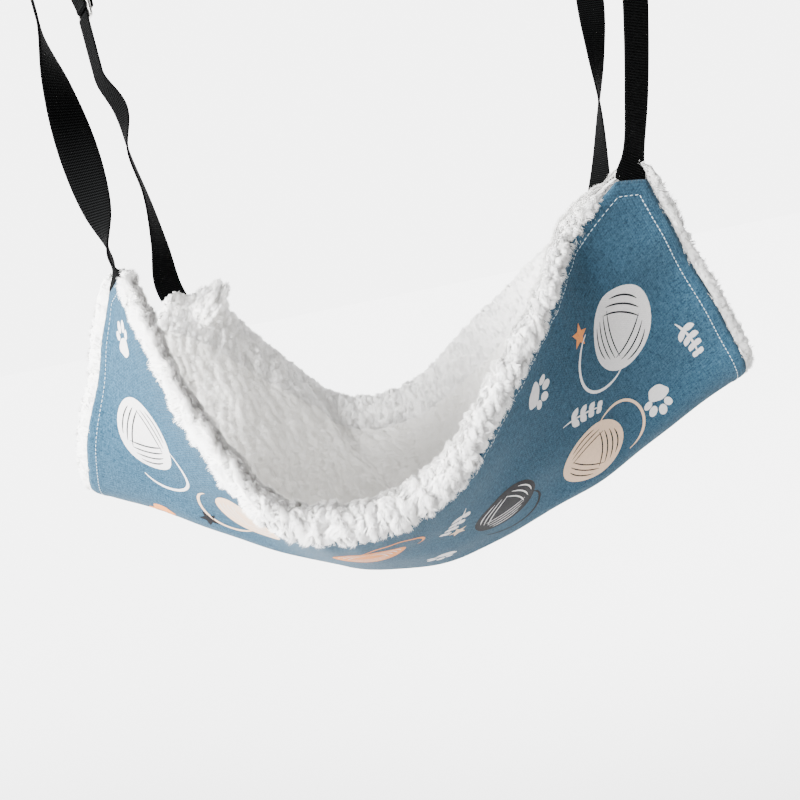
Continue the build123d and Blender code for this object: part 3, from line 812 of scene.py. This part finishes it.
def grow_pile(name, low, high, span, count, length, width, lie, cloth, comb, seed):
    """Short flat fibres, each with one bend, whose tips draw together in small locks. They
    grow between two stations and two profile places. lie is how far they lean over,
    and comb which way: along the bed and across it."""
    rng = np.random.default_rng(seed)
    row = rng.uniform(low, high, count)
    col = rng.uniform(span[0], span[1], count) % ring_count
    r0 = np.clip(np.interp(row, stations, np.arange(len(stations))), 0, len(stations) - 1.001)
    i, j = np.floor(r0).astype(int), np.floor(col).astype(int) % ring_count
    fi, fj = (r0 - i)[:, None], (col - np.floor(col))[:, None]
    j2 = (j + 1) % ring_count
    a, b, c, d = shell[i, j], shell[i + 1, j], shell[i, j2], shell[i + 1, j2]
    root = (a * (1 - fi) + b * fi) * (1 - fj) + (c * (1 - fi) + d * fi) * fj
    along_way = unit((b - a) * (1 - fj) + (d - c) * fj)
    n = unit(np.cross(along_way, (c - a) * (1 - fi) + (d - b) * fi)) * pile_side
    across_way = unit(np.cross(n, along_way)) * pile_side
    # the middle of the nearest lock, on a jittered net of them
    lock_a, lock_b, root_depth = 0.0042, 0.0058, 0.0007
    at_a, at_b = row / lock_a, np.interp(col, column, profile_arc) / lock_b
    nearest = np.full(count, 9.0)
    draw_a, draw_b, kind = np.zeros(count), np.zeros(count), np.zeros(count)
    for step_a in (-1, 0, 1):
        for step_b in (-1, 0, 1):
            cell_a, cell_b = np.floor(at_a) + step_a, np.floor(at_b) + step_b
            off_a = cell_a + chance(cell_a, cell_b, 1) - at_a
            off_b = cell_b + chance(cell_a, cell_b, 2) - at_b
            gap = off_a**2 + off_b**2
            closer = gap < nearest
            nearest = np.where(closer, gap, nearest)
            draw_a, draw_b = np.where(closer, off_a, draw_a), np.where(closer, off_b, draw_b)
            kind = np.where(closer, chance(cell_a, cell_b, 3), kind)
    draw = along_way * (draw_a * lock_a)[:, None] + across_way * (draw_b * lock_b)[:, None]
    draw *= 1.6 * (1 - lie)
    heading = atan2(comb[1], comb[0]) + (kind - 0.5) * 2.4 + rng.normal(0, 0.3, count)
    lean = along_way * np.cos(heading)[:, None] + across_way * np.sin(heading)[:, None]
    short = 1 - 0.6 * by_corner(row) * (np.abs(np.interp(col, column, profile_v)) > bed_width / 2 - 0.02)
    reach = (length * short * (0.7 + 0.6 * kind) * rng.uniform(0.75, 1.2, count))[:, None]
    way = unit(n * (1 - lie) + lean * lie)
    middle = root + way * reach * 0.5 + draw * 0.3
    bent = unit(way * 0.45 + lean * 0.65 + rng.normal(0, 0.22, (count, 3)))
    tip = middle + bent * reach * 0.5 + draw * 0.45
    side = unit(np.cross(way, n))
    half = (width * rng.uniform(0.6, 1.3, count) / 2)[:, None]
    low_end = root - n * root_depth
    points = np.stack((low_end - side * half, low_end + side * half, middle + side * half * 0.9,
                       middle - side * half * 0.9, tip), axis=1).reshape(-1, 3)
    base = np.arange(count)[:, None] * 5
    loops = np.concatenate((base + np.array([0, 1, 2, 3]), base + np.array([3, 2, 4])), axis=1)
    starts = (np.arange(count)[:, None] * 7 + np.array([0, 4])).ravel()
    piece = array_piece(name, points, loops.ravel(), starts)
    mesh = piece.data
    mesh.materials.append(cloth)
    mesh.polygons.foreach_set("use_smooth", np.ones(count * 2, dtype=bool))
    # the fibres are shaded as one soft surface, not as separate flat strips
    soft = unit(n * 0.8 + way * 0.2)
    mesh.normals_split_custom_set_from_vertices(np.repeat(soft, 5, axis=0))
    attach(piece, "bed")


# two copies of one fleece: the rim's and ends' fibres are painted near white, a painted light for the light
# the pile scatters; the bed's fibres are painted darker and warmer, a painted shade for the hollow
rim_fibre_painted_light = fleece_material("rim_fibre_painted_light", (0.985, 0.98, 0.97), (0.93, 0.92, 0.90), 0.0005)
bed_fibre_painted_shade = fleece_material("bed_fibre_painted_shade", (0.93, 0.915, 0.885), (0.79, 0.77, 0.725), 0.0005)
first, last, centre = -overhang * 0.97, bed_length + overhang * 0.97, bed_length / 2
rim_columns = 16
back_rim = (0, roll_steps + rim_columns)
inner_bed = (roll_steps + rim_columns, roll_steps + top_steps - rim_columns)
front_rim = (roll_steps + top_steps - rim_columns, 2 * roll_steps + top_steps)
whole_end = (roll_steps - 2, ring_count)
# how many fibres, their length, width and lean, and their material
rim_pile = (60000, 0.0041, 0.00042, 0.55, rim_fibre_painted_light)
bed_pile = (43000, 0.0028, 0.00048, 0.78, bed_fibre_painted_shade)
end_pile = (30000, 0.0034, 0.00042, 0.5, rim_fibre_painted_light)
for name, low, high, span, pile, comb, seed in (
    ("pile_rim_front_a", first, centre, front_rim, rim_pile, (0.3, 1), 11),
    ("pile_rim_front_b", centre, last, front_rim, rim_pile, (-0.3, 1), 12),
    ("pile_rim_back_a", first, centre, back_rim, rim_pile, (0.3, -1), 13),
    ("pile_rim_back_b", centre, last, back_rim, rim_pile, (-0.3, -1), 14),
    ("pile_bed_left", 0.0, centre / 2, inner_bed, bed_pile, (1, 0.7), 15),
    ("pile_bed_mid_left", centre / 2, centre, inner_bed, bed_pile, (1, 0.7), 16),
    ("pile_bed_mid_right", centre, centre * 1.5, inner_bed, bed_pile, (-1, 0.7), 17),
    ("pile_bed_right", centre * 1.5, bed_length, inner_bed, bed_pile, (-1, 0.7), 18),
    ("pile_end_left", first, 0.002, whole_end, end_pile, (-1, 0), 19),
    ("pile_end_right", bed_length - 0.002, last, whole_end, end_pile, (1, 0), 20),
):
    grow_pile(name, low, high, span, *pile, comb, seed)


# Straps: black woven webbing, 25 mm wide, one at each corner, sewn in between the
# canvas and the fleece. Each twists on its way up and ends behind its slider.
webbing_width = 0.025
slider_z, strap_end_drop, ply_offset = -0.084, 0.0087, 0.0023
seam_gap, strap_tuck = 0.0003, 0.003
# corner, end and side of the bed, the top's place as shares of the bed, and the turns on
# the way up: share of the height, angle of the webbing and slack in widths
strap_corners = (
    ("front_left", 0, -1, -0.304, -0.145,
     ((0.14, -75, 0), (0.3, -20, 0), (0.45, 25, 0), (0.6, 70, 0), (0.76, 112, 0))),
    ("back_left", 0, 1, -0.351, 0.268,
     ((0.14, 43, -0.14), (0.3, 75, 0.11), (0.45, 98, 0.26), (0.58, 105, 0.2), (0.7, 134, 0.4),
      (0.82, 126, 0))),
    ("front_right", 1, -1, 0.371, -0.135,
     ((0.14, 42, 0), (0.3, 38, 0), (0.45, 36, 0), (0.6, 35, 0), (0.76, 35, 0))),
    ("back_right", 1, 1, 0.407, 0.325,
     ((0.14, -40, 0), (0.3, -72, 0), (0.45, -100, 0), (0.6, -140, 0), (0.76, -170, 0))),
)

webbing_cloth, tree, shader = new_material("webbing_cloth", (0.005, 0.005, 0.0055), 0.9, specular=0.02)
cloth = add_node(tree, "ShaderNodeUVMap").outputs["UV"]
parts = add_node(tree, "ShaderNodeSeparateXYZ", inputs={0: cloth})
# rows of picks across the strap, each pick set off from its neighbour as in a twill
side_wave = maths(tree, "SINE", maths(tree, "MULTIPLY", parts.outputs["X"], 3900.0))
pick = maths(tree, "MULTIPLY", parts.outputs["Y"], 3700.0)
pick = maths(tree, "SINE", maths(tree, "MULTIPLY_ADD", side_wave, 0.9, pick))
weft = maths(tree, "MULTIPLY_ADD", pick, 0.5, 0.5)
depth = maths(tree, "MULTIPLY_ADD", noise_map(tree, cloth, 900.0, 3.0), 0.5, weft)
# the colour is painted lighter on the crests of the picks, a painted highlight, with tone that varies at
# random from the noise on top
tint(shader, maths(tree, "POWER", depth, 3.5), (0.0001, 0.0001, 0.0001), (0.0050, 0.0052, 0.0054))
relief(shader, (0.9, 0.0005, depth))


def webbing_strip(name, centres, widths_way, faces_way, cloth):
    """A strip of webbing along points, with rounded selvedges and its own UV map."""
    half_t, flat_half = webbing_thickness / 2, (webbing_width - webbing_thickness) / 2
    round_edge = np.radians(np.arange(-90, 91, 30))
    section = np.concatenate((
        np.stack((flat_half + half_t * np.cos(round_edge), half_t * np.sin(round_edge)), axis=1),
        [(flat_half * (1 - i / 3), half_t) for i in range(1, 6)],
    ))
    section = np.concatenate((section, -section))
    count, around = len(centres), len(section)
    points = (centres[:, None, :] + widths_way[:, None, :] * section[None, :, 0:1]
              + faces_way[:, None, :] * section[None, :, 1:2]).reshape(-1, 3)
    rings = np.arange(count * around).reshape(count, around)
    beside = np.roll(rings, -1, axis=1)
    quads = np.stack((rings[:-1], beside[:-1], beside[1:], rings[1:]), axis=-1).reshape(-1, 4)
    faces = quads.tolist() + [rings[0, ::-1].tolist(), rings[-1].tolist()]
    strip = new_piece(name, points.tolist(), faces)
    mesh = strip.data
    run = np.concatenate(([0], np.cumsum(np.linalg.norm(np.diff(centres, axis=0), axis=1))))
    mesh.uv_layers.new(name="UVMap")
    uv = np.stack((np.tile(section[:, 0], count), np.repeat(run, around)), axis=1)
    lay_uv(mesh, uv)
    turn_faces_out(strip)
    bpy.ops.object.shade_smooth_by_angle(angle=radians(50))
    mesh.materials.append(cloth)
    return strip


for corner, end, side, top_x_share, top_y_share, turns in strap_corners:
    inner_end = abs(end - corner_cut / bed_length) * bed_length
    edge = side * bed_width / 2
    tip, on_rim, on_end, within = (
        hung(u, v, d)[0] for u, v, d in (
            (end * bed_length, edge, 0), (inner_end, edge, 0),
            (end * bed_length, side * (bed_width / 2 - corner_cut), 0),
            (end * bed_length, edge, canvas_thickness),
        )
    )
    middle = (on_rim + on_end) / 2
    off = unit(tip - middle)
    cut_way = unit(on_end - on_rim - off * np.dot(on_end - on_rim, off))
    inward = np.cross(off, cut_way)
    if np.dot(inward, within - tip) < 0:
        inward = -inward
    foot = middle + off * seam_gap + inward * (canvas_thickness + webbing_thickness / 2)
    last_turn = radians(turns[-1][1])
    top_x = top_x_share * bed_length - sin(last_turn) * ply_offset
    top_y = top_y_share * bed_width + cos(last_turn) * ply_offset
    top_z = slider_z - strap_end_drop
    twist_end = turns[-1][0]
    head = np.array((top_x, top_y, foot[2] + (top_z - foot[2]) * twist_end))
    height = head[2] - foot[2]
    first_pull = foot + off * height / 6
    last_pull = head - np.array((0, 0, height / 3))
    t = np.linspace(0, 1, 110)[:, None]
    centres = (foot * (1 - t) ** 3 + first_pull * 3 * (1 - t) ** 2 * t
               + last_pull * 3 * (1 - t) * t**2 + head * t**3)
    top = np.array((head[0], head[1], top_z))
    straight = np.array([head + (top - head) * share for share in (0.25, 0.5, 0.75, 1.0)])
    first_angle = radians(turns[0][1])
    seat_way = cut_way if np.dot(cut_way[:2], (cos(first_angle), sin(first_angle))) > 0 else -cut_way
    seat_angle = atan2(seat_way[1], seat_way[0])
    seat_angle += tau * round((first_angle - seat_angle) / tau)
    s = t[:, 0]
    knots = np.array([0.0] + [place / twist_end for place, angle, slack in turns])
    rows = np.array([(seat_angle, 0.0)] + [(radians(angle), slack) for place, angle, slack in turns])
    slopes = np.gradient(rows, knots, axis=0)
    slopes[-1] = 0
    angle, slack = smooth_curve(knots, rows, slopes, s).T
    centres[:, 0] += slack * webbing_width
    pulls = np.gradient(centres, axis=0)
    pulls[-1] = (0, 0, 1)
    ways = np.stack((np.cos(angle), np.sin(angle), np.zeros_like(angle)), axis=1)
    ease = np.clip(1 - s / 0.12, 0, 1)[:, None]
    ways = unit(ways * (1 - ease) + seat_way * ease)
    centres = np.concatenate(([foot - off * strap_tuck], centres, straight))
    pulls = unit(np.concatenate(([off], pulls, np.tile((0, 0, 1.0), (4, 1)))))
    top_way = np.array((cos(last_turn), sin(last_turn), 0))
    ways = np.concatenate(([seat_way], ways, np.tile(top_way, (4, 1))))
    ways = unit(ways - pulls * np.einsum("ij,ij->i", ways, pulls)[:, None])
    strap = webbing_strip("strap_web_" + corner, centres, ways, np.cross(pulls, ways), webbing_cloth)
    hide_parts("strap_" + corner)
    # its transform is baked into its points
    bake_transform(strap)


# Strap loops: the same webbing, doubled. It starts at the strap's end, climbs behind the
# slider's lower bar and over the middle one, goes up and round the swivel eye, and comes back
# to the middle bar, round which its end is turned.

# the middle of the webbing in mm, out from the slider's face and up, and the radius of each bend
loop_route = (
    (2.3, -8.68), (2.3, -7.9), (-4.05, -3.1), (-4.05, 2.3), (2.3, 7.9), (2.3, 15.0),
    (0.075, 33.8), (0.075, 43.1), (6.275, 43.1), (6.275, 33.8), (4.05, 15.0), (4.05, 9.0),
    (2.3, 1.5), (2.3, -2.6), (-2.3, -2.6), (-2.3, 1.5),
)
point_gap, point_step = 0.00005, 0.002
loop_bends = (1.5, 2.2, 2.2, 3.3, 3.3, 4.4, 3.07, 3.07, 4.4, 4.4, 3.3, 2.2, 1.5, 1.5)


def rounded_route(points, bends):
    """A route of straight runs with round bends, as points close together."""
    points = np.array(points)
    route = [points[0]]
    for before, here, after, bend in zip(points, points[1:], points[2:], bends):
        into, out = unit(here - before), unit(after - here)
        turn = np.arctan2(into[0] * out[1] - into[1] * out[0], np.dot(into, out))
        reach = bend * np.tan(abs(turn) / 2)
        start = here - into * reach
        centre = start + np.array((-into[1], into[0])) * np.sign(turn) * bend
        steps = max(int(abs(turn) / radians(12)), 2)
        for i in range(steps + 1):
            a = turn * i / steps
            route.append(turned(*centre, *(start - centre), a))
    return np.array(route + [points[-1]])


for corner, end, side, top_x_share, top_y_share, turns in strap_corners:
    last_turn = radians(turns[-1][1])
    way = np.array((cos(last_turn), sin(last_turn), 0))
    back = np.array((-sin(last_turn), cos(last_turn), 0))
    origin = np.array((top_x_share * bed_length, top_y_share * bed_width, slider_z))
    route = rounded_route(loop_route, loop_bends) / 1000
    keep = np.concatenate(([True], np.linalg.norm(np.diff(route, axis=0), axis=1) > point_gap))
    route = route[keep]
    fine = [route[0]]
    for a, b in zip(route, route[1:]):
        pieces = max(int(np.linalg.norm(b - a) / point_step), 1)
        fine += [a + (b - a) * k / pieces for k in range(1, pieces + 1)]
    route = np.array(fine)
    centres = origin + back * route[:, 0:1] + np.array((0, 0, 1)) * route[:, 1:2]
    runs = unit(np.gradient(centres, axis=0))
    ways = np.tile(way, (len(centres), 1))
    loop = webbing_strip("loop_web_" + corner, centres, ways, np.cross(runs, ways), webbing_cloth)
    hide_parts("strap_loop_" + corner)
    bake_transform(loop)


# Sliders, swivel eyes, hooks, gates, pins and springs: cast and bent metal, nickel
# plated, with a soft grain from polishing and duller, darker nicks.
nickel, tree, shader = new_material("nickel_plate", (0.62, 0.61, 0.59), 0.28, 1.0)
place = add_node(tree, "ShaderNodeTexCoord").outputs["Object"]
cloud = noise_map(tree, place, 160.0, 5.0)
brushed = add_node(tree, "ShaderNodeMapping", inputs={"Vector": place, "Scale": (600.0, 600.0, 4000.0)})
gloss = add_node(tree, "ShaderNodeMapRange", inputs={"Value": cloud, "To Min": 0.16, "To Max": 0.42})
tree.links.new(gloss.outputs[0], shader.inputs["Roughness"])
tint(shader, cloud, (0.50, 0.49, 0.47), (0.72, 0.71, 0.69))
relief(shader, (0.25, 0.00012, noise_map(tree, brushed.outputs[0], 1.0)))

spring_steel, tree, shader = new_material("spring_steel", (0.42, 0.41, 0.40), 0.35, 1.0)
drawn = noise_map(tree, add_node(tree, "ShaderNodeTexCoord").outputs["Object"], 700.0, 3.0)
tint(shader, drawn, (0.30, 0.29, 0.28), (0.55, 0.54, 0.53))
relief(shader, (0.2, 0.00008, drawn))

for corner, *rest in strap_corners:
    for piece, metal in (("slider", nickel), ("swivel_eye", nickel), ("hook", nickel), ("gate", nickel),
                         ("gate_pin", spring_steel), ("gate_spring", spring_steel)):
        for slot in bpy.data.objects[piece + "_" + corner].material_slots:
            slot.material = metal
